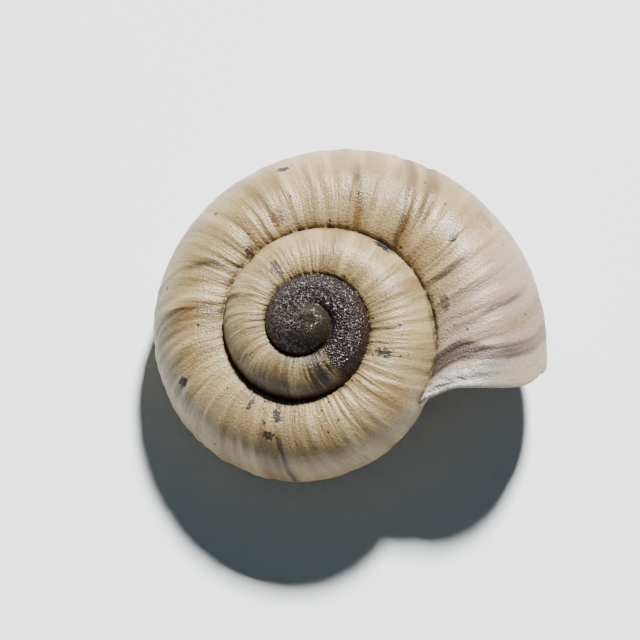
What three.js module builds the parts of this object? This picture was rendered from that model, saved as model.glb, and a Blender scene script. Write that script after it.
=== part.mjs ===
// A small right-handed land snail shell, about 5 mm across, as the animal grew it: one thin wall,
// coiled about three and a half turns from a smooth nucleus to the thin edge of the mouth.
//
// The wall is laid out as growth stages, each a section of the whorl in a half plane through the
// axis of coiling. A section starts at the upper suture, where it is fused to the whorl before it,
// runs over the shoulder, the periphery and the base, turns up into the umbilicus and ends where
// it is fused to the whorl before it again. Because both ends lie on the earlier whorl, the shell
// closes on itself and only the mouth is open.
//
// Units are millimetres. +Z is up, the shell rests on its base and its mouth faces -Y at +X.

import * as THREE from 'three';
import { mergeVertices } from 'three/addons/utils/BufferGeometryUtils.js';

// Growth: one unit of "stage" is one full turn.
const FIRST_STAGE = -0.55;
const LAST_STAGE = 3.05;
const STAGES_PER_TURN = 40;
const GROWTH_PER_TURN = 1.717;
const GROWTH_SIZE = 0.619;
const GROWTH_OFFSET = -0.283;
const NUCLEUS_SPREAD = 0.45;

// The mouth edge and every growth line run forward from the periphery to the suture.
const LEAD_STEPS = 2;
const LEAD = LEAD_STEPS / STAGES_PER_TURN;
const BASE_LAG = 0.022;
const UMBILICUS_LAG = 0.012;

// The mouth edge itself reaches furthest on at its two sutures. Between them it stands back from
// the growth lines, most of all round the periphery and at the base.
const LIP_START = 2.9;
const LIP_SET_BACK = 0.019;
const LIP_CORNER = 0.022;
const LIP_REACH_SHARE = 0.38;
const LIP_CORNER_SHARE = 0.45;

// The last part of the whorl widens a little less than the rest.
const FINISH_START = 2.9;
const FINISH_NARROWING = 0.05;

// Section, as shares of the whorl's outer radius.
const PERIPHERY_DROP = 0.57;
const NUCLEUS_DROP = 0.14;
const CROWN_DROP = 0.445;
const CROWN_LIFT = 0.04;
const CROWN_SHARE = 0.33;
const BASE_DEPTH = 1.0;
const BASE_RADIUS = 0.62;
const UMBILICUS_RADIUS = 0.19;
const UMBILICUS_WALL_EARLY = 0.85;
const UMBILICUS_WALL_LATE = 0.35;
const LUMEN_CENTRE = 0.64;

// Where the next whorl is fused on, as angles on the section's arcs.
const SUTURE_ANGLE = 12;
const UMBILICAL_SUTURE_ANGLE = 50;
const SEAM_SHARE = 1.25;

// Wall.
const WALL_FULL = 0.11;
const WALL_NUCLEUS = 0.1;
const WALL_HALF_RADIUS = 0.45;

// Rest: the last whorl props up the mouth side, so the axis leans.
const LEAN_TO_LEFT = 10.5;
const LEAN_TO_FRONT = 4.6;

const SHELL_COLOUR = 0xd9d0bd;

// Columns of a section, counted from the upper suture.
const CROWN_COLUMNS = 2;
const SHOULDER_COLUMNS = 3;
const PERIPHERY_COLUMNS = 4;
const BASE_COLUMNS = 2;
const UMBILICUS_COLUMNS = 1;
const WALL_COLUMNS = 2;
const CROWN = CROWN_COLUMNS;
const SUTURE = CROWN + SHOULDER_COLUMNS;
const UNDER_SUTURE = SUTURE + 1;
const BOTTOM = UNDER_SUTURE + PERIPHERY_COLUMNS;
const UNDER_UMBILICAL = BOTTOM + BASE_COLUMNS;
const UMBILICAL = UNDER_UMBILICAL + 1;
const INNERMOST = UMBILICAL + UMBILICUS_COLUMNS;
const LAST_COLUMN = INNERMOST + WALL_COLUMNS;

const QUARTER = Math.PI / 2;
const radians = THREE.MathUtils.degToRad;
const mix = THREE.MathUtils.lerp;
const ease = (stage, from, to) => THREE.MathUtils.smoothstep(stage, from, to);

function outerRadius(stage) {
  const opening = Math.sin(QUARTER * Math.min(Math.max((stage - FIRST_STAGE) / NUCLEUS_SPREAD, 0), 1));
  const narrowing = 1 - FINISH_NARROWING * ease(stage, FINISH_START, LAST_STAGE + LEAD);
  return (GROWTH_OFFSET + GROWTH_SIZE * GROWTH_PER_TURN ** stage) * opening * narrowing;
}

// The turning points of a section: radius from the axis, and height below the apex.
function landmarks(stage) {
  const radius = outerRadius(stage);
  const before = stage - 1 + LEAD > FIRST_STAGE ? outerRadius(stage - 1 + LEAD) : 0;
  const grown = ease(stage, FIRST_STAGE + 1 - LEAD, FIRST_STAGE + 1.6);
  const nucleus = 1 - ease(stage, FIRST_STAGE, FIRST_STAGE + 1);
  const periphery = -(PERIPHERY_DROP * radius + NUCLEUS_DROP * nucleus);
  const crown = -CROWN_DROP * before + CROWN_LIFT * grown;
  const drop = BASE_DEPTH * (crown - periphery);
  const opened = ease(stage, FIRST_STAGE, FIRST_STAGE + 1.5);
  const wallShare = mix(UMBILICUS_WALL_EARLY, UMBILICUS_WALL_LATE, opened);
  return {
    radius,
    crown: [mix(before, radius, CROWN_SHARE), crown],
    periphery: [radius, periphery],
    bottom: [BASE_RADIUS * radius, periphery - drop],
    innermost: [UMBILICUS_RADIUS * radius, periphery - wallShare * drop],
    middle: [LUMEN_CENTRE * radius, periphery],
    wall: WALL_FULL * (radius + WALL_NUCLEUS) / (radius + WALL_HALF_RADIUS),
  };
}

// A point on the quarter ellipse from "level" (angle 0) to "top" (angle 90 degrees).
function arc(level, top, angle) {
  return [
    mix(top[0], level[0], Math.cos(angle)),
    mix(level[1], top[1], Math.sin(angle)),
  ];
}

function sutureAngle(stage) {
  return mix(QUARTER, radians(SUTURE_ANGLE), ease(stage, FIRST_STAGE, FIRST_STAGE + 0.6));
}

// The next whorl's wall hides this much of the arc under the suture.
function seamAngle(stage) {
  const { crown, periphery, wall } = landmarks(stage);
  const nucleus = 0.55 * (1 - ease(stage, FIRST_STAGE, FIRST_STAGE + 0.6));
  return SEAM_SHARE * wall / (crown[1] - periphery[1]) + nucleus;
}

function upperSuture(stage) {
  const earlier = stage - 1 + LEAD;
  return earlier < FIRST_STAGE ? [0, 0] : sectionPoint(earlier, SUTURE);
}

function umbilicalSuture(stage) {
  return sectionPoint(Math.max(stage - 1, FIRST_STAGE), UMBILICAL);
}

// One point of a section, from the upper suture (column 0) to the umbilical suture.
function sectionPoint(stage, column) {
  const { crown, periphery, bottom, innermost, wall } = landmarks(stage);
  const underSuture = sutureAngle(stage) - seamAngle(stage);
  const umbilicalAngle = radians(UMBILICAL_SUTURE_ANGLE);
  const seam = SEAM_SHARE * wall / Math.max(bottom[0] - innermost[0], wall);
  if (column < CROWN) {
    const start = upperSuture(stage);
    const along = QUARTER * column / CROWN_COLUMNS;
    return [mix(start[0], crown[0], 1 - Math.cos(along)), mix(start[1], crown[1], Math.sin(along))];
  }
  if (column <= SUTURE) {
    const along = (column - CROWN) / SHOULDER_COLUMNS;
    return arc(periphery, crown, mix(QUARTER, sutureAngle(stage), along));
  }
  if (column <= BOTTOM) {
    const angle = mix(underSuture, -QUARTER, (column - UNDER_SUTURE) / PERIPHERY_COLUMNS);
    const end = angle > 0 ? crown : bottom;
    return arc(periphery, end, Math.abs(angle));
  }
  if (column <= UNDER_UMBILICAL) {
    const along = (column - BOTTOM) / BASE_COLUMNS;
    return arc(innermost, bottom, QUARTER - along * (umbilicalAngle - seam));
  }
  if (column <= INNERMOST) {
    const along = (column - UMBILICAL) / UMBILICUS_COLUMNS;
    return arc(innermost, bottom, mix(QUARTER - umbilicalAngle, 0, along));
  }
  const end = umbilicalSuture(stage);
  const along = QUARTER * (column - INNERMOST) / WALL_COLUMNS;
  return [mix(innermost[0], end[0], 1 - Math.cos(along)), mix(innermost[1], end[1], Math.sin(along))];
}

// How far a column of a growth line runs ahead of the periphery, in turns.
function lineLead(column) {
  if (column <= SUTURE) return LEAD * (1 - column / SUTURE);
  if (column <= UNDER_SUTURE) return 0;
  if (column <= BOTTOM) return -BASE_LAG * ease(column, UNDER_SUTURE, BOTTOM);
  return -mix(BASE_LAG, UMBILICUS_LAG, ease(column, BOTTOM, UNDER_UMBILICAL));
}

function lipSetBack(column) {
  const middle = LIP_SET_BACK * ease(column, 0, LIP_REACH_SHARE * SUTURE);
  const corner = LIP_CORNER * ease(column, LIP_CORNER_SHARE * SUTURE, BOTTOM);
  return (middle + corner) * (1 - ease(column, BOTTOM, LAST_COLUMN));
}

function lead(stage, column) {
  return lineLead(column) - lipSetBack(column) * ease(stage, LIP_START, LAST_STAGE);
}

function place([radius, height], turns) {
  const angle = -2 * Math.PI * turns;
  return [radius * Math.cos(angle), radius * Math.sin(angle), height];
}

const lastStep = Math.round((LAST_STAGE - FIRST_STAGE) * STAGES_PER_TURN);
const stageOf = (step) => FIRST_STAGE + step / STAGES_PER_TURN;

function outerPoint(step, column) {
  if (column === 0) {
    const earlier = step - STAGES_PER_TURN + LEAD_STEPS;
    return earlier < 0 ? [0, 0, 0] : outerPoint(earlier, SUTURE);
  }
  if (column === LAST_COLUMN) return outerPoint(Math.max(step - STAGES_PER_TURN, 0), UMBILICAL);
  if (step === 0 && column < SUTURE) return [0, 0, 0];
  if (step === 0 && column > UMBILICAL) return outerPoint(0, UMBILICAL);
  const stage = stageOf(step);
  return place(sectionPoint(stage, column), stage + lead(stage, column));
}

// The inner face: the outer face moved towards the middle of the lumen by the wall, with its
// two edges brought back on to the earlier whorl just inside the fused seams.
function innerPoint(step, column) {
  if (column === 0) {
    return outerPoint(Math.max(step - STAGES_PER_TURN + LEAD_STEPS, 0), UNDER_SUTURE);
  }
  if (column === LAST_COLUMN) {
    return outerPoint(Math.max(step - STAGES_PER_TURN, 0), UNDER_UMBILICAL);
  }
  const start = outerPoint(0, Math.min(Math.max(column, UNDER_SUTURE), UNDER_UMBILICAL));
  if (step === 0) return start;
  const stage = stageOf(step);
  const { middle, wall } = landmarks(stage);
  const outer = sectionPoint(stage, column);
  const toMiddle = new THREE.Vector2(middle[0] - outer[0], middle[1] - outer[1]).setLength(wall);
  const moved = place([outer[0] + toMiddle.x, outer[1] + toMiddle.y], stage + lead(stage, column));
  const opened = ease(stage, FIRST_STAGE, FIRST_STAGE + 0.2);
  return moved.map((value, axis) => mix(start[axis], value, opened));
}

function shellGeometry() {
  const positions = [];
  const addTriangle = (a, b, c) => positions.push(...a, ...b, ...c);
  const addQuad = (a, b, c, d) => {
    addTriangle(a, b, c);
    addTriangle(a, c, d);
  };
  const fusedAbove = lastStep - STAGES_PER_TURN + LEAD_STEPS;
  const fusedBelow = lastStep - STAGES_PER_TURN;
  for (let step = 0; step < lastStep; step += 1) {
    for (let column = 0; column < LAST_COLUMN; column += 1) {
      const hidden = (column === SUTURE && step < fusedAbove)
        || (column === UNDER_UMBILICAL && step < fusedBelow);
      if (!hidden) {
        addQuad(
          outerPoint(step, column),
          outerPoint(step + 1, column),
          outerPoint(step + 1, column + 1),
          outerPoint(step, column + 1),
        );
      }
      addQuad(
        innerPoint(step, column),
        innerPoint(step, column + 1),
        innerPoint(step + 1, column + 1),
        innerPoint(step + 1, column),
      );
    }
  }
  for (let column = 0; column < LAST_COLUMN; column += 1) {
    addQuad(
      outerPoint(lastStep, column),
      innerPoint(lastStep, column),
      innerPoint(lastStep, column + 1),
      outerPoint(lastStep, column + 1),
    );
  }
  return withoutFlatTriangles(positions);
}

// At the nucleus many triangles shrink to a line or a point, and those are left out.
function withoutFlatTriangles(positions) {
  const soup = new THREE.BufferGeometry();
  soup.setAttribute('position', new THREE.Float32BufferAttribute(positions, 3));
  const merged = mergeVertices(soup, 1e-5);
  const kept = [];
  const { array } = merged.index;
  for (let i = 0; i < array.length; i += 3) {
    const [a, b, c] = [array[i], array[i + 1], array[i + 2]];
    if (a !== b && b !== c && c !== a) kept.push(a, b, c);
  }
  merged.setIndex(kept);
  return merged;
}

// Leans the axis, stands the shell on its base and centres it over the origin.
function rest(geometry) {
  geometry.rotateY(-radians(LEAN_TO_LEFT));
  geometry.rotateX(radians(LEAN_TO_FRONT));
  geometry.computeBoundingBox();
  const { min, max } = geometry.boundingBox;
  geometry.translate(-(min.x + max.x) / 2, -(min.y + max.y) / 2, -min.z);
  geometry.computeVertexNormals();
  return geometry;
}

const object = new THREE.Group();
const shell = new THREE.Mesh(
  rest(shellGeometry()),
  new THREE.MeshStandardMaterial({ color: SHELL_COLOUR, roughness: 0.45, metalness: 0 }),
);
shell.name = 'shell';
object.add(shell);

export default object;
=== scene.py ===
import math

import bpy
from bpy.props import FloatProperty, FloatVectorProperty, IntProperty, PointerProperty
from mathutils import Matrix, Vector


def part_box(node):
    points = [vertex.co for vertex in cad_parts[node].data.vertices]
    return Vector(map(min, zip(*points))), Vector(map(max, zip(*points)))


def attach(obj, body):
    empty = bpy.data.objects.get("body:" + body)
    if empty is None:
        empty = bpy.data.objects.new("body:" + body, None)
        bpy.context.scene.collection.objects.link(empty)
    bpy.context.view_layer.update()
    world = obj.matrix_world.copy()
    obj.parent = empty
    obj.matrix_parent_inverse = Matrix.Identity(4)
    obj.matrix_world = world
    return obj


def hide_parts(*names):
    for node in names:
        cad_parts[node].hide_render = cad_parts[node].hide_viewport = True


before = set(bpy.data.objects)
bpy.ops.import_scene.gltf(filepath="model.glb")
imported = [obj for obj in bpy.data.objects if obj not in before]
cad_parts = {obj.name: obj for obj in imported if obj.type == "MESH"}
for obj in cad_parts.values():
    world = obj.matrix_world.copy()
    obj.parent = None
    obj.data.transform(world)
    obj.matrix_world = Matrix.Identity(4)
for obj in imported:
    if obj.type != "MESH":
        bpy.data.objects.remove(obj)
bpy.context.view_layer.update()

bl_info = {
    "name": "Land Snail Shell",
    "version": (1, 0, 0),
    "blender": (4, 5, 0),
    "location": "View3D > Sidebar > Snail Shell",
    "description": "Grows and finishes a small land snail shell, and sets a plain stage",
    "category": "Add Mesh",
}

NODE = "shell"
SHELL_LOW, SHELL_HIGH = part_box(NODE)

# The tree works in millimetres and is brought to metres at its end.
MM = 0.001
TURN = 2.0 * math.pi
QUARTER = math.pi / 2.0

# One stage is one full turn of growth. A row of the mesh is one growth stage.
ROWS_PER_TURN = 400
FIRST_STAGE = -0.55
LAST_STAGE = 3.05
ROWS = round((LAST_STAGE - FIRST_STAGE) * ROWS_PER_TURN)

# Columns of a section, counted from the upper suture over the shoulder, the periphery and the
# base to the umbilical suture.
CROWN = 6
SUTURE = CROWN + 17
UNDER_SUTURE = SUTURE + 1
BOTTOM = UNDER_SUTURE + 20
UNDER_UMBILICAL = BOTTOM + 8
UMBILICAL = UNDER_UMBILICAL + 1
INNERMOST = UMBILICAL + 3
LAST_COLUMN = INNERMOST + 4
LIP_COLUMNS = 4

# Out of sight inside the coil, every fourth column is enough. The mouth shows the last part of a turn.
COARSE = 4
SEEN_INSIDE = 0.6

# Points nearer than WELD, in millimetres, are one, and so are stages nearer than TINY.
WELD = 4e-6
TINY = 1e-4

UV_GROWTH = "Growth"
ATTRIBUTE_INSIDE = "inside"
ATTRIBUTE_RELIEF = "relief"

# The stage at which the dark first whorls give way to the cream wall.
FIRST_WHORLS_END = 1.13


# ---------------------------------------------------------------- sums with node sockets

def operator(operation, swapped=False):
    """An arithmetic method of a field, by the name of a math node's operation."""
    def method(self, other):
        pair = (other, self) if swapped else (self, other)
        return self.math(operation, *pair)
    return method


class Field:
    """A node socket that can be added, multiplied and compared like a number."""

    def __init__(self, tree, socket):
        self.tree = tree
        self.socket = socket

    def math(self, operation, *values, clamp=False):
        node = self.tree.nodes.new("ShaderNodeMath")
        node.operation = operation
        node.use_clamp = clamp
        for socket, value in zip(node.inputs, values):
            wire(self.tree, socket, value)
        return Field(self.tree, node.outputs[0])

    __add__ = operator("ADD")
    __radd__ = operator("ADD", swapped=True)
    __sub__ = operator("SUBTRACT")
    __rsub__ = operator("SUBTRACT", swapped=True)
    __mul__ = operator("MULTIPLY")
    __rmul__ = operator("MULTIPLY", swapped=True)
    __truediv__ = operator("DIVIDE")
    __rtruediv__ = operator("DIVIDE", swapped=True)
    __pow__ = operator("POWER")
    __rpow__ = operator("POWER", swapped=True)
    __lt__ = operator("LESS_THAN")
    __gt__ = operator("GREATER_THAN")

    def __neg__(self):
        return self * -1.0


def wire(tree, socket, value):
    """Links a field to a socket, or sets the socket's own value."""
    if isinstance(value, Field):
        tree.links.new(value.socket, socket)
    else:
        socket.default_value = value


def sine(x):
    return x.math("SINE", x) if isinstance(x, Field) else math.sin(x)


def cosine(x):
    return x.math("COSINE", x) if isinstance(x, Field) else math.cos(x)


def root(x):
    return x.math("SQRT", x)


def magnitude(x):
    return x.math("ABSOLUTE", x)


def whole(x):
    return x.math("ROUND", x)


def least(x, y):
    return x.math("MINIMUM", x, y)


def greatest(x, y):
    return x.math("MAXIMUM", x, y)


def both(x, y):
    return x * y


def either(x, y):
    return x.math("MAXIMUM", x, y)


def mix(tree, a, b, weight):
    """a where weight is 0, b where it is 1."""
    node = tree.nodes.new("ShaderNodeMix")
    node.clamp_factor = False
    wire(tree, node.inputs[0], weight)
    wire(tree, node.inputs[2], a)
    wire(tree, node.inputs[3], b)
    return Field(tree, node.outputs[0])


def ease(x, low, high, out_low=0.0, out_high=1.0):
    """A smooth step of x from low to high."""
    node = x.tree.nodes.new("ShaderNodeMapRange")
    node.interpolation_type = "SMOOTHSTEP"
    for name, value in (("Value", x), ("From Min", low), ("From Max", high),
                        ("To Min", out_low), ("To Max", out_high)):
        wire(x.tree, node.inputs[name], value)
    return Field(x.tree, node.outputs[0])


def vector(tree, x, y, z):
    node = tree.nodes.new("ShaderNodeCombineXYZ")
    for socket, value in zip(node.inputs, (x, y, z)):
        wire(tree, socket, value)
    return Field(tree, node.outputs[0])


def parts(tree, field):
    node = tree.nodes.new("ShaderNodeSeparateXYZ")
    wire(tree, node.inputs[0], field)
    return [Field(tree, socket) for socket in node.outputs]


def noise(tree, where, scale=1.0, detail=2.0):
    """Smooth noise, about 0.5 on average."""
    node = tree.nodes.new("ShaderNodeTexNoise")
    node.noise_dimensions = "3D"
    wire(tree, node.inputs["Vector"], where)
    node.inputs["Scale"].default_value = scale
    node.inputs["Detail"].default_value = detail
    return Field(tree, node.outputs[0])


# ---------------------------------------------------------------- settings

def length(name, description, default):
    return FloatProperty(
        name=name, description=description, default=default, unit="LENGTH", precision=6,
    )


def angle(name, description, degrees):
    return FloatProperty(
        name=name, description=description, default=math.radians(degrees), subtype="ANGLE",
    )


def shade(name, description, default):
    return FloatVectorProperty(
        name=name, description=description, default=default, size=3, subtype="COLOR", min=0.0, max=1.0,
    )


class SnailGrowthSettings(bpy.types.PropertyGroup):
    """How the shell grew: the law of the spiral and the shape of a section."""

    growth: FloatProperty(
        name="Growth per turn", description="How many times wider the whorl gets in one turn",
        default=1.717, min=1.2, max=3.0,
    )
    size: length("Whorl size", "Outer radius of the spiral at stage 0, before the offset", 0.619 * MM)
    offset: length("Whorl offset", "Length taken off the radius at every stage", -0.283 * MM)
    wall: length("Wall", "Thickness that the wall tends to as the whorl widens", 0.11 * MM)
    lip: FloatProperty(
        name="Lip thinning", description="Share of the wall's thickness that is left at the mouth edge",
        default=0.35, min=0.1, max=1.0, subtype="FACTOR",
    )
    relief: length("Riblet height", "Height of the growth riblets", 0.028 * MM)
    lean_left: angle("Lean to the left", "Lean of the axis of coiling away from the mouth", 10.5)
    lean_front: angle("Lean to the front", "Lean of the axis of coiling to the front", 4.6)
    seed: IntProperty(name="Seed", description="Seed of the riblets' pattern", default=7, min=0)


class SnailFinishSettings(bpy.types.PropertyGroup):
    """Colours of the shell."""

    cream: shade("Cream", "Colour of the clean wall", (0.23, 0.16, 0.073))
    chalk: shade("Chalk", "Colour of the raised, worn riblets", (0.365, 0.28, 0.15))
    ochre: shade("Ochre", "Colour of the stained growth lines", (0.12, 0.07, 0.022))
    olive: shade("Olive", "Colour of the greenish film", (0.12, 0.098, 0.03))
    # Brown also paints shade: the thin line in the suture crease, and the darkening into the suture
    # under the first whorls.
    brown: shade("Brown", "Colour of the dirt in the sutures", (0.017, 0.0085, 0.004))
    rust: shade("Rust", "Colour of the red-brown stains", (0.07, 0.026, 0.012))
    mauve: shade("Mauve", "Colour of the newest wall", (0.25, 0.195, 0.15))
    dusk: shade("Dusk", "Colour of the last growth band", (0.05, 0.034, 0.029))
    nucleus: shade("Nucleus", "Colour of the first whorls", (0.014, 0.0085, 0.0095))
    tip: shade("Tip", "Colour of the smooth first half whorl", (0.02, 0.0155, 0.0095))
    frost: shade("Frost", "Colour of the thin strip behind the mouth edge", (0.215, 0.205, 0.19))
    crust: shade("Crust", "Colour of the dry crust at the mouth edge", (0.43, 0.42, 0.395))
    slate: shade("Slate", "Colour of the few grey stains", (0.013, 0.011, 0.012))


class SnailStageSettings(bpy.types.PropertyGroup):
    """Floor, light and camera."""

    floor_colour: shade("Floor", "Colour of the plain floor", (0.78, 0.83, 0.86))
    elevation: angle("Camera elevation", "Height of the camera above the horizon", 72.2)
    width: length("View width", "Width of the view at the shell", 8.0 * MM)
    distance: length("Camera distance", "Distance from the camera to the shell", 0.12)
    key_elevation: angle("Key light elevation", "Height of the key light above the horizon", 47.0)
    key_azimuth: angle("Key light azimuth", "Direction of the key light, from +X towards +Y", 73.0)


# ---------------------------------------------------------------- the law of growth

SIZES = ("Growth per turn", "Whorl size", "Whorl offset", "Wall", "Lip thinning")

NUCLEUS_SPREAD = 0.45
LEAD_ROWS = 20
LEAD = LEAD_ROWS / ROWS_PER_TURN
LINE_SLACK = 0.02
BASE_LAG = 0.022
UMBILICUS_LAG = 0.012
FINISH_START = 2.9
FINISH_NARROWING = 0.05
PERIPHERY_DROP = 0.57
NUCLEUS_DROP = 0.14
CROWN_DROP = 0.445
CROWN_LIFT = 0.04
CROWN_SHARE = 0.33
BASE_DEPTH = 1.0
BASE_RADIUS = 0.62
UMBILICUS_RADIUS = 0.19
UMBILICUS_WALL_EARLY = 0.85
UMBILICUS_WALL_LATE = 0.35
LUMEN_CENTRE = 0.64
SUTURE_ANGLE = math.radians(12)
UMBILICAL_SUTURE_ANGLE = math.radians(50)
SEAM_SHARE = 1.25
WALL_NUCLEUS = 0.1
WALL_HALF_RADIUS = 0.45
LIP_TAPER = 0.06
LIP_ROUNDING = 0.45
LIP_START = 2.9
LIP_SET_BACK = 0.024
LIP_BULGE = 0.006
LIP_CORNER = 0.032
LIP_CORNER_START = SUTURE - 4
LIP_CORNER_END = SUTURE + 14


class Law:
    """The law of growth as node groups. Each is built once and placed wherever it is needed.

    It repeats the CAD solid's law: the outer radius grows by a constant factor in each turn, and
    every section starts and ends on the whorl before it. A point is a pair: its distance from
    the axis of coiling, and its height above the apex.
    """

    def __init__(self):
        self.trees = {}

    def use(self, tree, name, sizes, **values):
        """Places the group called name in a tree, and gives its outputs by name."""
        if name not in self.trees:
            self.trees[name] = self.build(name, values)
        node = tree.nodes.new("GeometryNodeGroup")
        node.node_tree = self.trees[name]
        for key, value in {**sizes, **values}.items():
            wire(tree, node.inputs[key], value)
        result = {}
        for socket in node.outputs:
            key, _, part = socket.name.partition(" / ")
            field = Field(tree, socket)
            result[key] = result.get(key, ()) + (field,) if part else field
        return result

    def build(self, name, values):
        tree = bpy.data.node_groups.new(name, "GeometryNodeTree")
        for key in (*SIZES, *values):
            tree.interface.new_socket(key, in_out="INPUT", socket_type="NodeSocketFloat")
        entry = tree.nodes.new("NodeGroupInput")
        sizes = {key: Field(tree, entry.outputs[key]) for key in SIZES}
        fields = {key: Field(tree, entry.outputs[key]) for key in values}
        outputs = getattr(self, name.lower().replace(" ", "_"))(tree, sizes, **fields)
        flat = {}
        for key, value in outputs.items():
            if isinstance(value, tuple):
                flat.update({f"{key} / {part}": item for part, item in enumerate(value)})
            else:
                flat[key] = value
        leave = tree.nodes.new("NodeGroupOutput")
        for key, value in flat.items():
            tree.interface.new_socket(key, in_out="OUTPUT", socket_type="NodeSocketFloat")
            wire(tree, leave.inputs[key], value)
        return tree

    def whorl_radius(self, tree, sizes, stage):
        share = (stage - FIRST_STAGE).math("DIVIDE", stage - FIRST_STAGE, NUCLEUS_SPREAD, clamp=True)
        narrowing = 1.0 - FINISH_NARROWING * ease(stage, FINISH_START, LAST_STAGE + LEAD)
        law = sizes["Whorl offset"] + sizes["Whorl size"] * sizes["Growth per turn"] ** stage
        return {"radius": law * sine(QUARTER * share) * narrowing}

    def section_marks(self, tree, sizes, stage):
        """The turning points of a section, and its wall's thickness."""
        radius = self.use(tree, "Whorl radius", sizes, stage=stage)["radius"]
        earlier = greatest(stage - 1.0 + LEAD, FIRST_STAGE)
        before = self.use(tree, "Whorl radius", sizes, stage=earlier)["radius"]
        grown = ease(stage, FIRST_STAGE + 1 - LEAD, FIRST_STAGE + 1.6)
        nucleus = 1.0 - ease(stage, FIRST_STAGE, FIRST_STAGE + 1)
        periphery = -(PERIPHERY_DROP * radius + NUCLEUS_DROP * nucleus)
        crown = CROWN_LIFT * grown - CROWN_DROP * before
        drop = BASE_DEPTH * (crown - periphery)
        rise = ease(stage, FIRST_STAGE, FIRST_STAGE + 1.5, UMBILICUS_WALL_EARLY, UMBILICUS_WALL_LATE)
        wall = sizes["Wall"] * (radius + WALL_NUCLEUS) / (radius + WALL_HALF_RADIUS)
        thin = ease(stage, LAST_STAGE - LIP_TAPER, LAST_STAGE)
        return {
            "crown": (mix(tree, before, radius, CROWN_SHARE), crown),
            "periphery": (radius, periphery),
            "bottom": (BASE_RADIUS * radius, periphery - drop),
            "innermost": (UMBILICUS_RADIUS * radius, periphery - rise * drop),
            "middle": (LUMEN_CENTRE * radius, periphery),
            "wall": wall,
            "free wall": wall * mix(tree, 1.0, sizes["Lip thinning"], thin),
        }

    def seams(self, tree, sizes, stage):
        """The angles at which the next whorl is fused on: at the suture, under it, at the base."""
        marks = self.use(tree, "Section marks", sizes, stage=stage)
        suture = ease(stage, FIRST_STAGE, FIRST_STAGE + 0.6, QUARTER, SUTURE_ANGLE)
        nucleus = ease(stage, FIRST_STAGE, FIRST_STAGE + 0.6, 0.55, 0.0)
        height = marks["crown"][1] - marks["periphery"][1]
        span = greatest(marks["bottom"][0] - marks["innermost"][0], marks["wall"])
        return {
            "suture": suture,
            "under": suture - SEAM_SHARE * marks["wall"] / height - nucleus,
            "base": SEAM_SHARE * marks["wall"] / span,
        }

    def fused_points(self, tree, sizes, stage):
        """Where the section carries the next whorl: the outer and inner seams, above and below."""
        marks = self.use(tree, "Section marks", sizes, stage=stage)
        seams = self.use(tree, "Seams", sizes, stage=stage)
        below = QUARTER - UMBILICAL_SUTURE_ANGLE
        return {
            "suture": arc(tree, marks["periphery"], marks["crown"], seams["suture"]),
            "under suture": side_arc(tree, marks, seams["under"]),
            "umbilical": arc(tree, marks["innermost"], marks["bottom"], below),
            "under umbilical": arc(tree, marks["innermost"], marks["bottom"], below + seams["base"]),
        }

    def section_point(self, tree, sizes, stage, column):
        """The outer point of a column, by the arc of the section it lies on."""
        marks = self.use(tree, "Section marks", sizes, stage=stage)
        seams = self.use(tree, "Seams", sizes, stage=stage)
        earlier = greatest(stage - 1.0 + LEAD, FIRST_STAGE)
        above = self.use(tree, "Fused points", sizes, stage=earlier)
        below = self.use(tree, "Fused points", sizes, stage=greatest(stage - 1.0, FIRST_STAGE))
        crown, periphery, bottom, innermost = (
            marks[name] for name in ("crown", "periphery", "bottom", "innermost"))

        born = stage > FIRST_STAGE + 1.0 - LEAD + TINY
        start = tuple(part * born for part in above["suture"])
        along = QUARTER * column / CROWN
        point = corner(tree, start, crown, along)
        angle = mix(tree, QUARTER, seams["suture"], (column - CROWN) / (SUTURE - CROWN))
        point = choose(tree, column > CROWN + 0.5, arc(tree, periphery, crown, angle), point)
        angle = mix(tree, seams["under"], -QUARTER, (column - UNDER_SUTURE) / (BOTTOM - UNDER_SUTURE))
        point = choose(tree, column > SUTURE + 0.5, side_arc(tree, marks, angle), point)
        span = UMBILICAL_SUTURE_ANGLE - seams["base"]
        angle = QUARTER - (column - BOTTOM) / (UNDER_UMBILICAL - BOTTOM) * span
        point = choose(tree, column > BOTTOM + 0.5, arc(tree, innermost, bottom, angle), point)
        angle = (INNERMOST - column) / (INNERMOST - UMBILICAL) * (QUARTER - UMBILICAL_SUTURE_ANGLE)
        point = choose(tree, column > UNDER_UMBILICAL + 0.5, arc(tree, innermost, bottom, angle), point)
        along = QUARTER * (column - INNERMOST) / (LAST_COLUMN - INNERMOST)
        wall = corner(tree, innermost, below["umbilical"], along)
        point = choose(tree, column > INNERMOST + 0.5, wall, point)

        # The first section has no width: it closes on the axis, at one point above and one below.
        first = stage < FIRST_STAGE + TINY
        point = choose(tree, first * (column < SUTURE), (0.0, 0.0), point)
        end = arc(tree, innermost, bottom, QUARTER - UMBILICAL_SUTURE_ANGLE)
        point = choose(tree, first * (column > UMBILICAL), end, point)
        return {"point": point}

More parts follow.
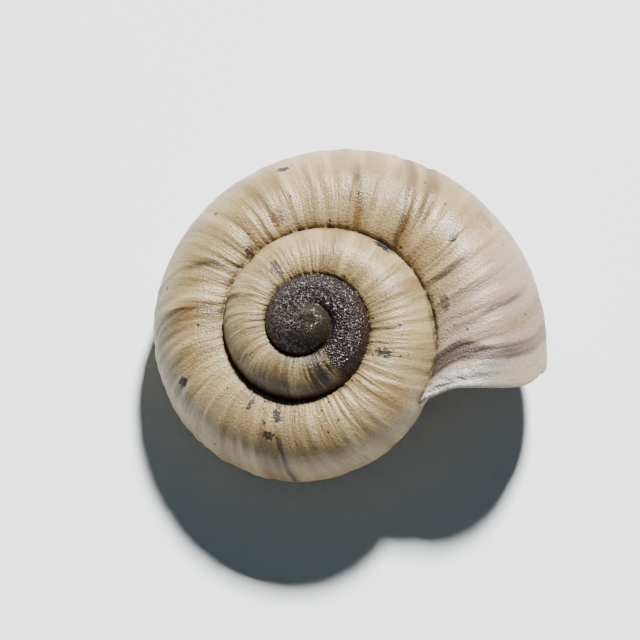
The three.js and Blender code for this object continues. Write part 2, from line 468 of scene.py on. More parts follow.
    def inner_point(self, tree, sizes, stage, column):
        """The outer point moved to the middle of the lumen by the wall's thickness."""
        marks = self.use(tree, "Section marks", sizes, stage=stage)
        point = self.use(tree, "Section point", sizes, stage=stage, column=column)["point"]
        earlier = greatest(stage - 1.0 + LEAD, FIRST_STAGE)
        above = self.use(tree, "Fused points", sizes, stage=earlier)
        below = self.use(tree, "Fused points", sizes, stage=greatest(stage - 1.0, FIRST_STAGE))
        inward = (marks["middle"][0] - point[0], marks["middle"][1] - point[1])
        reach = marks["free wall"] / root(inward[0] * inward[0] + inward[1] * inward[1] + 1e-9)
        moved = (point[0] + inward[0] * reach, point[1] + inward[1] * reach)
        kept = least(greatest(column, UNDER_SUTURE), UNDER_UMBILICAL)
        first = constant(tree, FIRST_STAGE)
        start = self.use(tree, "Section point", sizes, stage=first, column=kept)["point"]
        opened = ease(stage, FIRST_STAGE, FIRST_STAGE + 0.2)
        moved = tuple(mix(tree, a, b, opened) for a, b in zip(start, moved))
        moved = choose(tree, column < 0.5, above["under suture"], moved)
        moved = choose(tree, column > LAST_COLUMN - 0.5, below["under umbilical"], moved)
        return {"point": moved}


def arc(tree, level, top, angle):
    """A point on the quarter ellipse from level, at angle 0, to top, at a right angle."""
    return (mix(tree, top[0], level[0], cosine(angle)), mix(tree, level[1], top[1], sine(angle)))


def side_arc(tree, marks, angle):
    """A point of the arc through the periphery, above or below it by the sign of the angle."""
    size = magnitude(angle)
    upper = arc(tree, marks["periphery"], marks["crown"], size)
    lower = arc(tree, marks["periphery"], marks["bottom"], size)
    return choose(tree, angle > 0.0, upper, lower)


def corner(tree, start, end, angle):
    """A point on the quarter ellipse that leaves start upright and reaches end level."""
    return (mix(tree, start[0], end[0], 1.0 - cosine(angle)), mix(tree, start[1], end[1], sine(angle)))


def choose(tree, test, if_true, if_false):
    """One of two points, by a test that is 0 or 1."""
    return tuple(mix(tree, b, a, test) for a, b in zip(if_true, if_false))


def constant(tree, value):
    node = tree.nodes.new("ShaderNodeValue")
    node.outputs[0].default_value = value
    return Field(tree, node.outputs[0])


def lead(stage, column):
    """How far a column runs ahead of the periphery, in turns. The mouth edge stands back a little."""
    above = LEAD * greatest(1.0 - column / SUTURE, 0.0)
    below = ease(column, UNDER_SUTURE, BOTTOM, 0.0, BASE_LAG)
    back = ease(column, BOTTOM, UNDER_UMBILICAL, 0.0, BASE_LAG - UMBILICUS_LAG)
    edge = ease(column, 0, CROWN, 0.0, LIP_SET_BACK)
    edge = edge - ease(column, CROWN, LIP_CORNER_START, 0.0, LIP_BULGE)
    edge = edge + ease(column, LIP_CORNER_START, LIP_CORNER_END, 0.0, LIP_CORNER)
    edge = edge * ease(column, BOTTOM, LAST_COLUMN, 1.0, 0.0) * ease(stage, LIP_START, LAST_STAGE)
    return above - below + back - edge


def place(point, turns):
    """The point in space, as far round the axis as its turns say, to the right-handed side."""
    angle = -TURN * turns
    return (point[0] * cosine(angle), point[0] * sine(angle), point[1])


# ---------------------------------------------------------------- the growth tree

def position(tree):
    return Field(tree, tree.nodes.new("GeometryNodeInputPosition").outputs[0])


def link(tree, geometry, node, name="Geometry"):
    tree.links.new(geometry, node.inputs[name])
    return node.outputs[0]


def grid(tree, rows, columns):
    """A flat grid that counts rows along X and columns along Y, and its two counters."""
    node = tree.nodes.new("GeometryNodeMeshGrid")
    node.inputs["Size X"].default_value = rows
    node.inputs["Size Y"].default_value = columns
    node.inputs["Vertices X"].default_value = rows + 1
    node.inputs["Vertices Y"].default_value = columns + 1
    x, y, _ = parts(tree, position(tree))
    return node.outputs["Mesh"], x + rows / 2, y + columns / 2


def store(tree, geometry, name, domain, kind, value):
    node = tree.nodes.new("GeometryNodeStoreNamedAttribute")
    node.data_type = kind
    node.domain = domain
    node.inputs["Name"].default_value = name
    wire(tree, node.inputs["Value"], value)
    return link(tree, geometry, node)


def mark(tree, geometry, line, column, inside, height):
    """Stores the growth coordinates, the side of the wall and the relief on a face of it."""
    where = vector(tree, line, across(column), 0.0)
    geometry = store(tree, geometry, UV_GROWTH, "CORNER", "FLOAT2", where)
    geometry = store(tree, geometry, ATTRIBUTE_INSIDE, "FACE", "FLOAT", inside)
    return store(tree, geometry, ATTRIBUTE_RELIEF, "POINT", "FLOAT", height)


def move(tree, geometry, place):
    node = tree.nodes.new("GeometryNodeSetPosition")
    wire(tree, node.inputs["Position"], place)
    return link(tree, geometry, node)


def cut(tree, geometry, test):
    """Removes the faces where the test is 1."""
    node = tree.nodes.new("GeometryNodeDeleteGeometry")
    node.domain = "FACE"
    node.mode = "ALL"
    wire(tree, node.inputs["Selection"], test)
    return link(tree, geometry, node)


def turn(tree, geometry, rotation=None, translation=None, scale=None):
    node = tree.nodes.new("GeometryNodeTransform")
    for name, value in (("Rotation", rotation), ("Translation", translation), ("Scale", scale)):
        if value is not None:
            wire(tree, node.inputs[name], value)
    return link(tree, geometry, node)


def across(column):
    """0 at the upper suture, 1 where the next whorl would be fused on, up to 2 in the umbilicus."""
    return least(column / SUTURE, 1.0) + greatest(column - SUTURE, 0.0) / (LAST_COLUMN - SUTURE)


def growth_line(stage, column):
    """The stage of the growth line through a point. The lines lean a little less than the rows."""
    early = 1.0 - ease(stage, LAST_STAGE - 0.25, LAST_STAGE - 0.03)
    return stage + LINE_SLACK * greatest(1.0 - column / SUTURE, 0.0) * early


# Growth pauses, where the animal rested: stage at the suture, drift across the whorl, half width
# in turns, from and to across the whorl, depth.
PAUSES = (
    (1.564, -0.012, 0.003, 0.0, 1.0, 1.0),
    (2.285, -0.006, 0.004, 0.3, 1.3, 1.0),
    (2.521, -0.025, 0.004, 0.0, 1.3, 1.2),
    (2.592, -0.055, 0.003, 0.0, 1.3, 0.9),
    (2.789, -0.020, 0.004, 0.0, 0.9, 0.8),
    (2.850, -0.033, 0.004, 0.0, 1.3, 1.4),
    (2.864, -0.026, 0.004, 0.0, 1.3, 1.0),
    (2.910, 0.006, 0.003, 0.0, 0.5, 0.9),
    (2.968, 0.0, 0.003, 0.1, 0.9, 0.8),
)


def pause_mask(line, over, stage, drift, half, start, end):
    """1 along one growth line, between two places across the whorl."""
    near = band(line - drift * over, stage, half * 0.3, half)
    return near * ease(over, start - 0.1, start + 0.1) * ease(over, end - 0.12, end + 0.12, 1.0, 0.0)


def relief(tree, line, over, stage, placed, seed):
    """Height of the outer face over the plain section, in riblets: folds, riblets, pauses, grain."""
    def wave(lines, widths, shift, detail=1.0):
        return noise(tree, vector(tree, line * lines, over * widths, seed + shift), detail=detail) - 0.5

    folds = wave(20.0, 0.7, 0.0)
    riblets = wave(88.0, 1.3, 11.0, 1.5)
    swell = wave(3.0, 1.0, 31.0, 0.0)
    strength = ease(wave(6.0, 1.6, 23.0), -0.2, 0.2, 0.5, 1.4) * ease(over, 0.25, 1.0, 1.25, 0.65)
    ribbed = (1.3 * folds + 2.0 * riblets * strength + 1.3 * swell) * ease(stage, 1.10, 1.35)
    ribbed = ribbed * ease(stage, 1.2, 2.6, 0.6, 1.0)
    for centre, drift, half, start, end, depth in PAUSES:
        ribbed = ribbed - 0.45 * depth * pause_mask(line, over, centre, drift, half, start, end)
    grain = (noise(tree, placed, scale=24.0, detail=2.0) - 0.5) * ease(stage, 1.10, 1.35, 1.0, 0.0)
    crust = (noise(tree, placed, scale=22.0, detail=3.0) - 0.4) * lip_crust(stage, over)
    return ribbed + 0.6 * grain * ease(stage, 0.3, 0.6, 0.15, 1.0) + 4.0 * crust


def lip_crust(stage, over):
    """1 on the dry crust along the mouth edge, near the upper suture."""
    return ease(LAST_STAGE - stage, 0.010, 0.032, 1.0, 0.0) * ease(over, 0.22, 0.5, 1.0, 0.0)


def growth_tree():
    """Grows the whole wall from one law: outer face, inner face and mouth edge."""
    tree = bpy.data.node_groups.new("Shell growth", "GeometryNodeTree")
    face = tree.interface
    others = ("Riblet height", "Lean to the left", "Lean to the front")
    kinds = {name: "Float" for name in SIZES + others} | {"Seed": "Int", "Finish": "Material"}
    for name, kind in kinds.items():
        face.new_socket(name, in_out="INPUT", socket_type=f"NodeSocket{kind}")
    face.new_socket("Shell", in_out="OUTPUT", socket_type="NodeSocketGeometry")
    entry = tree.nodes.new("NodeGroupInput")
    inputs = {name: Field(tree, entry.outputs[name]) for name in kinds}
    law = Law()
    sizes = {name: inputs[name] for name in SIZES}
    seed = inputs["Seed"] * 1.0

    pieces = [
        outer_face(tree, law, sizes, seed),
        inner_face(tree, law, sizes),
        mouth_edge(tree, law, sizes, seed),
    ]
    join = tree.nodes.new("GeometryNodeJoinGeometry")
    for piece in reversed(pieces):
        tree.links.new(piece, join.inputs[0])
    weld = tree.nodes.new("GeometryNodeMergeByDistance")
    weld.inputs["Distance"].default_value = WELD
    geometry = link(tree, join.outputs[0], weld)

    raised = tree.nodes.new("GeometryNodeInputNamedAttribute")
    raised.data_type = "FLOAT"
    raised.inputs["Name"].default_value = ATTRIBUTE_RELIEF
    normal = Field(tree, tree.nodes.new("GeometryNodeInputNormal").outputs[0])
    height = Field(tree, raised.outputs["Attribute"]) * inputs["Riblet height"]
    nx, ny, nz = parts(tree, normal)
    shift = tree.nodes.new("GeometryNodeSetPosition")
    wire(tree, shift.inputs["Offset"], vector(tree, nx * height, ny * height, nz * height))
    geometry = link(tree, geometry, shift)

    geometry = turn(tree, geometry, rotation=vector(tree, 0.0, -inputs["Lean to the left"], 0.0))
    geometry = turn(tree, geometry, rotation=vector(tree, inputs["Lean to the front"], 0.0, 0.0))
    box = tree.nodes.new("GeometryNodeBoundBox")
    tree.links.new(geometry, box.inputs[0])
    low = parts(tree, Field(tree, box.outputs["Min"]))
    high = parts(tree, Field(tree, box.outputs["Max"]))
    rest = vector(tree, (low[0] + high[0]) * -0.5, (low[1] + high[1]) * -0.5, -low[2])
    geometry = turn(tree, geometry, translation=rest)
    geometry = turn(tree, geometry, scale=(MM, MM, MM))

    smooth = tree.nodes.new("GeometryNodeSetShadeSmooth")
    geometry = link(tree, geometry, smooth)
    realize = tree.nodes.new("GeometryNodeRealizeInstances")
    geometry = link(tree, geometry, realize)
    finish = tree.nodes.new("GeometryNodeSetMaterial")
    wire(tree, finish.inputs["Material"], inputs["Finish"])
    geometry = link(tree, geometry, finish)
    tree.links.new(geometry, tree.nodes.new("NodeGroupOutput").inputs[0])
    return tree


def outer_face(tree, law, sizes, seed):
    """The outer face, without the strips that the next whorl is fused on."""
    geometry, row, column = grid(tree, ROWS, LAST_COLUMN)
    fused_above = row < ROWS - ROWS_PER_TURN + LEAD_ROWS
    fused_below = row < ROWS - ROWS_PER_TURN
    seam_above = magnitude(column - (SUTURE + 0.5)) < 0.25
    seam_below = magnitude(column - (UNDER_UMBILICAL + 0.5)) < 0.25
    geometry = cut(tree, geometry, either(both(seam_above, fused_above), both(seam_below, fused_below)))
    stage = whole(row) / ROWS_PER_TURN + FIRST_STAGE
    column = whole(column)
    inside = both(both(column > SUTURE, column < UMBILICAL), row < ROWS - ROWS_PER_TURN - 0.5)
    coarse = whole(column / COARSE) * COARSE
    column = mix(tree, column, coarse, inside)
    line = growth_line(stage, column)
    point = law.use(tree, "Section point", sizes, stage=stage, column=column)["point"]
    spot = vector(tree, *place(point, stage + lead(stage, column)))
    height = relief(tree, line, across(column), stage, spot, seed)
    return move(tree, mark(tree, geometry, line, column, 0.0, height), spot)


def inner_face(tree, law, sizes):
    """The lumen's face, turned to face inwards."""
    geometry, row, column = grid(tree, ROWS, LAST_COLUMN)
    stage = whole(row) / ROWS_PER_TURN + FIRST_STAGE
    column = whole(column)
    deep = row < ROWS - SEEN_INSIDE * ROWS_PER_TURN
    column = mix(tree, column, whole(column / COARSE) * COARSE, deep)
    point = law.use(tree, "Inner point", sizes, stage=stage, column=column)["point"]
    flip = tree.nodes.new("GeometryNodeFlipFaces")
    geometry = link(tree, mark(tree, geometry, stage, column, 1.0, 0.0), flip, "Mesh")
    return move(tree, geometry, vector(tree, *place(point, stage + lead(stage, column))))


def mouth_edge(tree, law, sizes, seed):
    """The rounded edge between the outer and the inner face at the last stage."""
    geometry, step, column = grid(tree, LIP_COLUMNS, LAST_COLUMN)
    column = whole(column)
    weight = whole(step) / LIP_COLUMNS
    at_seam = either(column < 0.5, column > LAST_COLUMN - 0.5)
    weight = mix(tree, weight, whole(weight), at_seam)
    stage = constant(tree, LAST_STAGE)
    turns = stage + lead(stage, column)
    outer = place(law.use(tree, "Section point", sizes, stage=stage, column=column)["point"], turns)
    inner = place(law.use(tree, "Inner point", sizes, stage=stage, column=column)["point"], turns)
    free_wall = law.use(tree, "Section marks", sizes, stage=stage)["free wall"]
    reach = LIP_ROUNDING * free_wall * sine(math.pi * weight)
    x, y, z = (mix(tree, a, b, weight) for a, b in zip(outer, inner))
    spot = vector(tree, x - reach * sine(TURN * turns), y - reach * cosine(TURN * turns), z)
    line = growth_line(stage, column)
    height = relief(tree, line, across(column), stage, vector(tree, *outer), seed) * (1.0 - weight)
    return move(tree, mark(tree, geometry, LAST_STAGE, column, 0.5, height), spot)


def grow(name, tree, values):
    """A plain mesh object from a tree and its named input values."""
    piece = bpy.data.objects.new(name, bpy.data.meshes.new(name))
    bpy.context.scene.collection.objects.link(piece)
    modifier = piece.modifiers.new(tree.name, "NODES")
    modifier.node_group = tree
    for item in tree.interface.items_tree:
        if item.item_type == "SOCKET" and item.in_out == "INPUT" and item.name in values:
            modifier[item.identifier] = values[item.name]
    graph = bpy.context.evaluated_depsgraph_get()
    mesh = bpy.data.meshes.new_from_object(piece.evaluated_get(graph), depsgraph=graph)
    piece.modifiers.remove(modifier)
    piece.data = mesh
    mesh.name = name
    if not mesh.polygons:
        raise RuntimeError(f"the tree {tree.name!r} made no faces")
    return piece


# ---------------------------------------------------------------- the finish

def tint(tree, a, b, weight):
    """Colour a where weight is 0, b where it is 1."""
    node = tree.nodes.new("ShaderNodeMix")
    node.data_type = "RGBA"
    wire(tree, node.inputs[0], weight)
    for socket, colour in ((node.inputs[6], a), (node.inputs[7], b)):
        wire(tree, socket, colour if isinstance(colour, Field) else (*colour, 1.0))
    return Field(tree, node.outputs[2])


def brighten(tree, colour, factor):
    """The colour times a number."""
    node = tree.nodes.new("ShaderNodeMix")
    node.data_type = "RGBA"
    node.blend_type = "MULTIPLY"
    node.inputs[0].default_value = 1.0
    wire(tree, node.inputs[6], colour)
    grey = tree.nodes.new("ShaderNodeCombineColor")
    for socket in grey.inputs:
        wire(tree, socket, factor)
    tree.links.new(grey.outputs[0], node.inputs[7])
    return Field(tree, node.outputs[2])


def band(x, centre, half_width, soft):
    """1 within half_width of the centre, easing to 0 over soft."""
    return ease(magnitude(x - centre), half_width, half_width + soft, 1.0, 0.0)


# Stained growth lines: colour, stage at the suture, drift across the whorl, half width in turns,
# from and to across the whorl, strength.
STREAKS = (
    ("brown", 1.56, -0.012, 0.0035, 0.0, 1.0, 0.85),
    ("ochre", 1.93, 0.0, 0.006, 0.3, 1.0, 0.6),
    ("brown", 2.28, -0.006, 0.003, 0.4, 1.1, 0.8),
    ("ochre", 2.30, -0.006, 0.011, 0.4, 1.1, 0.6),
    ("olive", 2.47, -0.03, 0.005, 0.3, 1.2, 0.5),
    ("ochre", 2.52, -0.035, 0.010, 0.1, 1.2, 0.6),
    ("brown", 2.52, -0.03, 0.002, 0.1, 0.8, 0.6),
    ("olive", 2.56, -0.04, 0.006, 0.3, 1.2, 0.5),
    ("olive", 2.59, -0.055, 0.006, 0.3, 1.2, 0.6),
    ("brown", 2.59, -0.055, 0.003, 0.1, 0.5, 0.7),
    ("ochre", 2.79, -0.02, 0.0045, 0.05, 0.6, 1.0),
    ("ochre", 2.85, -0.03, 0.0045, 0.1, 1.2, 1.0),
    ("ochre", 2.865, -0.025, 0.0055, 0.35, 1.2, 1.0),
    ("brown", 2.85, -0.03, 0.003, 0.0, 0.25, 0.9),
    ("brown", 2.91, 0.005, 0.0025, 0.1, 0.4, 0.75),
    ("brown", 2.97, 0.0, 0.0022, 0.4, 0.8, 0.7),
    ("olive", 3.0, -0.01, 0.005, 0.6, 1.3, 0.5),
)

# Small stains: colour, stage, across, half length in turns, half width across, strength.
STAINS = (
    ("slate", 1.86, 0.9, 0.014, 0.11, 1.0),
    ("slate", 2.04, 0.26, 0.008, 0.11, 0.9),
    ("slate", 2.28, 0.22, 0.008, 0.08, 0.9),
    ("slate", 2.29, 0.45, 0.010, 0.05, 0.9),
    ("slate", 2.33, 0.2, 0.005, 0.05, 0.9),
    ("slate", 2.43, 0.58, 0.006, 0.07, 0.95),
    ("slate", 2.89, 0.42, 0.004, 0.06, 0.9),
    ("slate", 2.95, 0.04, 0.022, 0.03, 0.8),
    ("brown", 1.64, 0.9, 0.020, 0.10, 0.9),
    ("brown", 1.65, 0.25, 0.014, 0.14, 0.75),
    ("brown", 2.62, 0.1, 0.012, 0.05, 0.8),
    ("brown", 2.71, 0.67, 0.006, 0.04, 0.95),
    ("brown", 2.94, 0.16, 0.012, 0.035, 0.6),
    ("rust", 2.68, 0.2, 0.010, 0.07, 0.6),
    ("olive", 2.9, 0.8, 0.009, 0.07, 0.6),
)


class Finish:
    """The coordinates, noises, masks and colours that the layers of the finish share."""

    def __init__(self, tree, settings):
        self.tree = tree
        self.colours = {name: tuple(getattr(settings, name)) for name in settings.__annotations__}
        uv = tree.nodes.new("ShaderNodeUVMap")
        uv.uv_map = UV_GROWTH
        self.line, self.over, _ = parts(tree, Field(tree, uv.outputs[0]))
        side = tree.nodes.new("ShaderNodeAttribute")
        side.attribute_name = ATTRIBUTE_INSIDE
        self.inside = Field(tree, side.outputs["Fac"])
        self.spot = Field(tree, tree.nodes.new("ShaderNodeTexCoord").outputs["Object"])

        self.blotch = self.grain(1300.0, 3.0)
        self.edge = self.grain(9000.0, 3.0)
        self.speckle = self.grain(26000.0)
        self.fine = self.along(210.0, 1.6, 3.0)
        self.bold = self.along(46.0, 0.7, 9.0)
        self.wrinkled = ease(self.over, 0.15, 0.75, 1.0, 0.35)
        ragged = (self.along(30.0, 1.5, 2.0) - 0.5) * 0.14
        self.first = ease(self.line + ragged, FIRST_WHORLS_END, FIRST_WHORLS_END + 0.06, 1.0, 0.0)
        self.off_tip = ease(self.line, 0.1, 0.5)
        self.crust = lip_crust(self.line, self.over) * ease(self.edge, 0.35, 0.6, 0.3, 1.0)

    def along(self, lines, widths, shift=0.0, detail=2.0):
        """Noise stretched along the growth lines."""
        where = vector(self.tree, self.line * lines, self.over * widths, shift)
        return noise(self.tree, where, detail=detail)

    def grain(self, scale, detail=2.0):
        """Noise in space, in cells per metre."""
        return noise(self.tree, self.spot, scale=scale, detail=detail)

    def lay(self, under, name, weight):
        """A named colour, or a mixed one, laid over what is under it."""
        return tint(self.tree, under, self.colours.get(name, name), weight)


def wall_colour(finish):
    """Cream between chalky riblets, with ochre and olive growth lines and a mauve newest part."""
    blotch, wrinkled = finish.blotch, finish.wrinkled
    colour = finish.lay(finish.colours["cream"], "chalk", ease(finish.bold, 0.38, 0.66) * 0.75)
    colour = finish.lay(colour, "chalk", ease(finish.fine, 0.5, 0.72) * wrinkled * 0.45)
    broad = finish.along(11.0, 1.2, 17.0, 1.0)
    colour = finish.lay(colour, "ochre", ease(broad, 0.5, 0.75) * 0.22)
    colour = finish.lay(colour, "olive", ease(blotch, 0.50, 0.72) * 0.40)
    threads = ease(finish.along(120.0, 0.6, 41.0), 0.55, 0.68) * ease(blotch, 0.32, 0.6)
    colour = finish.lay(colour, "ochre", threads * 0.45)
    hairs = ease(finish.along(170.0, 1.1, 53.0), 0.64, 0.70) * ease(finish.edge, 0.4, 0.6)
    colour = finish.lay(colour, "brown", hairs * wrinkled * 0.6)
    young = ease(finish.line + (finish.along(5.0, 1.0, 5.0) - 0.5) * 0.05, 2.89, 2.97)
    return finish.lay(colour, "mauve", young * 0.8)


def lay_streaks(finish, colour):
    for name, stage, drift, half, start, end, strength in STREAKS:
        wander = finish.line + (finish.along(10.0, 3.5, stage * 7.0) - 0.5) * 0.008
        mask = pause_mask(wander, finish.over, stage, drift, half * 1.5, start, end)
        mask = mask * ease(finish.edge, 0.3, 0.5, 0.7, 1.0)
        colour = finish.lay(colour, name, mask * strength)
    return colour


def lay_dirt(finish, colour):
    """Ochre along the sutures, with brown crumbs, a thin line of painted shade in the suture crease,
    and specks all over.
    """
    line, over = finish.line, finish.over
    old = line < LAST_STAGE - 1.0 + LEAD
    below = old * (over < 1.0)
    reach = 0.4 + 1.2 * ease(finish.along(17.0, 0.5, 61.0), 0.3, 0.7)
    upper = ease(over / reach, 0.03, 0.20, 1.0, 0.0)
    lower = ease((1.0 - over) / reach, 0.03, 0.16, 1.0, 0.0) * below
    soil = finish.lay(finish.colours["olive"], "ochre", ease(line, 1.9, 2.3))
    colour = finish.lay(colour, soil, either(upper, lower) * 0.6)
    upper = ease(over / reach, 0.0, 0.15, 1.0, 0.0)
    lower = ease((1.0 - over) / reach, 0.0, 0.14, 1.0, 0.0) * below
    crumbs = ease(finish.edge, 0.48, 0.57)
    colour = finish.lay(colour, "brown", either(upper, lower) * crumbs * 0.75)
    # A thin dark line right at the upper and lower sutures: painted shade in the suture crease.
    suture_crease_shade = either(ease(over, 0.0, 0.022, 1.0, 0.0), ease(over, 0.965, 0.995) * below)
    colour = finish.lay(colour, "brown", suture_crease_shade * 0.5)
    large = dots(finish.tree, finish.spot, 6500.0, 0.13, 0.13)
    small = dots(finish.tree, finish.spot, 11000.0, 0.16, ease(over, 0.0, 0.6, 0.32, 0.06))
    return finish.lay(colour, "brown", either(large, small) * 0.9)


def lay_first_whorls(finish, colour):
    """Dark whorls with a streaked end, a red-brown band under the suture that darkens into painted
    shade at the suture, and a smooth brown tip.
    """
    line, over, edge = finish.line, finish.over, finish.edge
    streaky = ease(line, 1.18, 1.44, 1.0, 0.0) * ease(finish.along(60.0, 0.8, 29.0), 0.40, 0.52)
    colour = finish.lay(colour, "brown", streaky * 0.9)
    # A red-brown band towards the suture below the early whorls. The brown laid over it, deepest at the
    # suture, is painted shade in the crease.
    rust = ease(line, 1.38, 1.46, 1.0, 0.0) * ease(over + (edge - 0.5) * 0.4, 0.55, 0.9)
    colour = finish.lay(colour, "rust", rust * 0.7)
    colour = finish.lay(colour, "brown", rust * ease(over, 0.7, 1.0) * 0.6)
    dark = finish.lay(finish.colours["nucleus"], "brown", ease(finish.blotch, 0.35, 0.7) * 0.5)
    dark = finish.lay(dark, "rust", ease(over, 0.65, 1.0) * 0.35)
    dark = finish.lay(dark, "slate", ease(edge, 0.45, 0.65) * 0.6)
    dark = finish.lay(dark, "tip", ease(line, 0.05, 0.30, 1.0, 0.0))
    dark = finish.lay(dark, "dusk", ease(finish.speckle, 0.60, 0.72) * 0.5)
    return finish.lay(colour, dark, finish.first)


def lay_stains(finish, colour):
    ragged = (finish.edge - 0.5) * 1.2 + (finish.speckle - 0.5) * 1.8
    for name, stage, across_at, half_long, half_wide, strength in STAINS:
        x = (finish.line - stage) / half_long
        y = (finish.over - across_at) / half_wide
        distance = root(x * x + y * y) + ragged
        colour = finish.lay(colour, name, ease(distance, 0.7, 1.05, 1.0, 0.0) * strength)
    return colour


def lay_mouth(finish, colour):
    """A dark growth band, then a thin pale strip with a white crust at the suture."""
    over, edge = finish.over, finish.edge
    back = LAST_STAGE - finish.line
    wide = ease(over, 0.15, 0.5, 1.0, 0.0)
    centre = mix(finish.tree, 0.031, 0.044, wide)
    reach = mix(finish.tree, 0.004, 0.010, wide)
    distance = magnitude(back + (finish.bold - 0.5) * 0.006 - centre) - reach
    dusk = ease(distance, 0.0, 0.007, 1.0, 0.0) * ease(over, 0.5, 1.1, 1.0, 0.5)
    colour = finish.lay(colour, "dusk", dusk * ease(finish.fine, 0.3, 0.6, 0.7, 1.0))
    rim = ease(back + (edge - 0.5) * 0.008, 0.020, 0.027, 1.0, 0.0)
    strip = finish.lay(finish.colours["frost"], "chalk", ease(over, 0.45, 0.8) * 0.6)
    colour = finish.lay(colour, strip, rim * 0.85)
    colour = finish.lay(colour, "crust", finish.crust * 0.9)
    return finish.lay(colour, "mauve", finish.inside * 0.6)


def wall_roughness(finish):
    """Satin wall, duller towards the base and the mouth edge. The first whorls are glossy."""
    wall = ease(finish.blotch, 0.3, 0.7, 0.33, 0.46) + ease(finish.over, 0.4, 1.2, 0.0, 0.12)
    wall = wall + ease(finish.line, 2.96, 3.01, 0.0, 0.16)
    early = mix(finish.tree, 0.18, 0.25, finish.off_tip)
    return either(mix(finish.tree, wall, early, finish.first), finish.crust * 0.8)


def fine_height(finish):
    """Height for the bump: striae on the wall, grains on the first whorls, crumbs on the crust."""
    striae = (finish.fine * 0.9 + finish.along(420.0, 5.0, 13.0) * 0.5) * finish.wrinkled
    height = striae + finish.grain(36000.0) * ease(finish.over, 0.1, 0.9, 0.8, 0.35)
    grains = finish.grain(44000.0, 1.0) * 2.0 + finish.along(60.0, 14.0, 71.0) * 0.9
    height = mix(finish.tree, height, grains, finish.first * finish.off_tip)
    return height + finish.crust * finish.edge * 2.0


def shell_material(settings):
    """Cream wall with stained growth lines, dirt and a thin line of painted shade in the sutures, and
    dark first whorls.
    """
    material = bpy.data.materials.new("Snail shell wall")
    material.use_nodes = True
    tree = material.node_tree
    shader = tree.nodes["Principled BSDF"]
    finish = Finish(tree, settings)

    colour = wall_colour(finish)
    for layer in (lay_streaks, lay_dirt, lay_first_whorls, lay_stains, lay_mouth):
        colour = layer(finish, colour)
    colour = brighten(tree, colour, ease(finish.speckle, 0.25, 0.75, 0.86, 1.12))
    glint = ease(finish.grain(24000.0), 0.45, 0.62)
    wire(tree, shader.inputs["Base Color"], colour)
    wire(tree, shader.inputs["Roughness"], wall_roughness(finish))
    wire(tree, shader.inputs["Specular IOR Level"], mix(tree, 0.4, 0.15 + 0.5 * glint, finish.first))
    shader.inputs["IOR"].default_value = 1.53
    shader.inputs["Subsurface Weight"].default_value = 0.12
    shader.inputs["Subsurface Radius"].default_value = (1.0, 0.8, 0.55)
    shader.inputs["Subsurface Scale"].default_value = 0.12 * MM

    bump = tree.nodes.new("ShaderNodeBump")
    bump.inputs["Strength"].default_value = 0.8
    bump.inputs["Distance"].default_value = 0.020 * MM
    wire(tree, bump.inputs["Height"], fine_height(finish))
    tree.links.new(bump.outputs[0], shader.inputs["Normal"])
    return material


def dots(tree, where, scale, size, share):
    """1 on small round dots, in the given share of the cells of a random pattern."""
    node = tree.nodes.new("ShaderNodeTexVoronoi")
    wire(tree, node.inputs["Vector"], where)
    node.inputs["Scale"].default_value = scale
    distance = Field(tree, node.outputs["Distance"])
    chance, grow, _ = parts(tree, Field(tree, node.outputs["Color"]))
    rim = size * (0.5 + grow)
    return ease(distance / rim, 0.7, 1.1, 1.0, 0.0) * (chance < share)


def floor_material(settings):
    material = bpy.data.materials.new("Plain floor")
    material.use_nodes = True
    shader = material.node_tree.nodes["Principled BSDF"]
    shader.inputs["Base Color"].default_value = (*settings.floor_colour, 1.0)
    shader.inputs["Roughness"].default_value = 0.9
    shader.inputs["Specular IOR Level"].default_value = 0.2
    return material


# ---------------------------------------------------------------- operators

class SNAIL_OT_grow_shell(bpy.types.Operator):
    """Grow the shell from its law of growth and give it its finish"""

    bl_idname = "snail.grow_shell"
    bl_label = "Grow Shell"

    def execute(self, context):
        growth = context.scene.snail_growth
        values = {
            "Growth per turn": growth.growth,
            "Whorl size": growth.size / MM,
            "Whorl offset": growth.offset / MM,
            "Wall": growth.wall / MM,
            "Lip thinning": growth.lip,
            "Riblet height": growth.relief / MM,
            "Lean to the left": growth.lean_left,
            "Lean to the front": growth.lean_front,
            "Seed": growth.seed,
            "Finish": shell_material(context.scene.snail_finish),
        }
        shell = grow("snail_shell", growth_tree(), values)
        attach(shell, "root")
        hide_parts(NODE)
        return {"FINISHED"}


class SNAIL_OT_set_stage(bpy.types.Operator):
    """Lay the plain floor, hang the soft lights and place the camera"""

    bl_idname = "snail.set_stage"
    bl_label = "Set Stage"

    def execute(self, context):
        stage = context.scene.snail_stage
        centre = (SHELL_LOW + SHELL_HIGH) / 2
        add_floor(context, stage)
        add_lights(context, stage, centre)
        add_camera(context, stage, centre)
        return {"FINISHED"}


FLOOR_REACH = 0.6
LAMP_DISTANCE = 0.30
SHELL_RIGHT_OF_MIDDLE = 0.375 * MM
SHELL_ABOVE_MIDDLE = 0.09 * MM


def add_floor(context, stage):
    mesh = bpy.data.meshes.new("floor")
    sides = ((-1, -1), (1, -1), (1, 1), (-1, 1))
    corners = [(x * FLOOR_REACH, y * FLOOR_REACH, 0) for x, y in sides]
    mesh.from_pydata(corners, [], [(0, 1, 2, 3)])
    mesh.materials.append(floor_material(stage))
    floor = bpy.data.objects.new("floor", mesh)
    context.scene.collection.objects.link(floor)


def towards(azimuth, elevation):
    """The direction with this azimuth, from +X towards +Y, and this height above the horizon."""
    return Vector((
        math.cos(elevation) * math.cos(azimuth),
        math.cos(elevation) * math.sin(azimuth),
        math.sin(elevation),
    ))


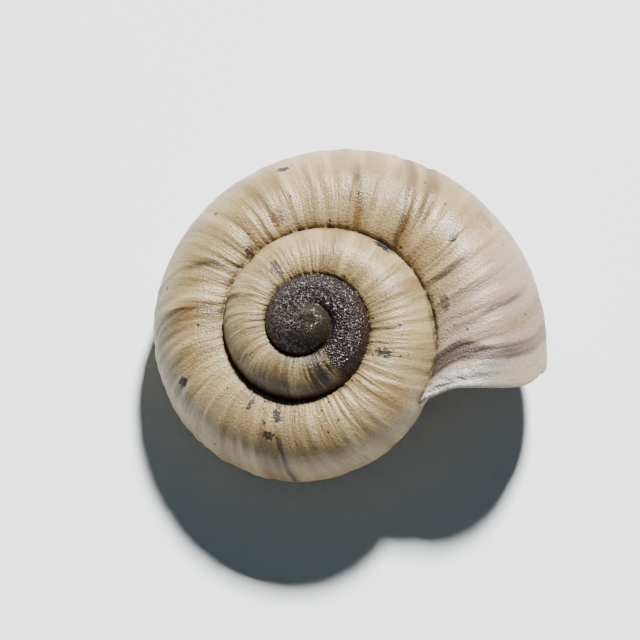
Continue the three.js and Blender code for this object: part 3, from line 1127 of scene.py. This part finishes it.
def add_lamp(context, name, centre, direction, size, strength, colour):
    """A square lamp facing the centre. Its strength is the light that reaches the shell."""
    light = bpy.data.lights.new(name, "AREA")
    light.size = size
    light.energy = strength * math.pi * math.pi * LAMP_DISTANCE ** 2
    light.color = colour
    lamp = bpy.data.objects.new(name, light)
    lamp.location = centre + direction * LAMP_DISTANCE
    lamp.rotation_euler = (-direction).to_track_quat("-Z", "Y").to_euler()
    context.scene.collection.objects.link(lamp)


def add_lights(context, stage, centre):
    key = towards(stage.key_azimuth, stage.key_elevation)
    add_lamp(context, "key light", centre, key, 0.035, 4.8, (1.0, 0.975, 0.93))
    front = towards(math.radians(-115), math.radians(55))
    add_lamp(context, "fill light", centre, front, 0.30, 0.045, (0.86, 0.93, 1.0))
    world = bpy.data.worlds.new("Soft surround")
    world.use_nodes = True
    sky = world.node_tree.nodes["Background"]
    sky.inputs["Color"].default_value = (0.50, 0.76, 1.0, 1.0)
    sky.inputs["Strength"].default_value = 0.075
    context.scene.world = world


def add_camera(context, stage, centre):
    """A long lens that looks down from the front, with the shell a little right of the middle."""
    direction = towards(math.radians(-90), stage.elevation)
    turned = (-direction).to_track_quat("-Z", "Y")
    right = turned @ Vector((1, 0, 0))
    up = turned @ Vector((0, 1, 0))
    aim = centre - right * SHELL_RIGHT_OF_MIDDLE - up * SHELL_ABOVE_MIDDLE
    camera = bpy.data.objects.new("camera", bpy.data.cameras.new("camera"))
    camera.data.lens = camera.data.sensor_width * stage.distance / stage.width
    camera.data.clip_start = 0.001
    camera.location = aim + direction * stage.distance
    camera.rotation_euler = turned.to_euler()
    context.scene.collection.objects.link(camera)
    context.scene.camera = camera


# ---------------------------------------------------------------- panel and registration

class SNAIL_PT_panel(bpy.types.Panel):
    bl_idname = "SNAIL_PT_panel"
    bl_label = "Snail Shell"
    bl_space_type = "VIEW_3D"
    bl_region_type = "UI"
    bl_category = "Snail Shell"

    def draw(self, context):
        groups = (
            (context.scene.snail_growth, SNAIL_OT_grow_shell),
            (context.scene.snail_finish, None),
            (context.scene.snail_stage, SNAIL_OT_set_stage),
        )
        for settings, operator in groups:
            box = self.layout.box()
            for name in settings.__annotations__:
                box.prop(settings, name)
            if operator is not None:
                box.operator(operator.bl_idname)


CLASSES = (
    SnailGrowthSettings,
    SnailFinishSettings,
    SnailStageSettings,
    SNAIL_OT_grow_shell,
    SNAIL_OT_set_stage,
    SNAIL_PT_panel,
)


def register():
    for cls in CLASSES:
        bpy.utils.register_class(cls)
    bpy.types.Scene.snail_growth = PointerProperty(type=SnailGrowthSettings)
    bpy.types.Scene.snail_finish = PointerProperty(type=SnailFinishSettings)
    bpy.types.Scene.snail_stage = PointerProperty(type=SnailStageSettings)


def unregister():
    del bpy.types.Scene.snail_stage
    del bpy.types.Scene.snail_finish
    del bpy.types.Scene.snail_growth
    for cls in reversed(CLASSES):
        bpy.utils.unregister_class(cls)


def main():
    register()
    bpy.ops.snail.set_stage()
    bpy.ops.snail.grow_shell()


if __name__ == "__main__":
    main()
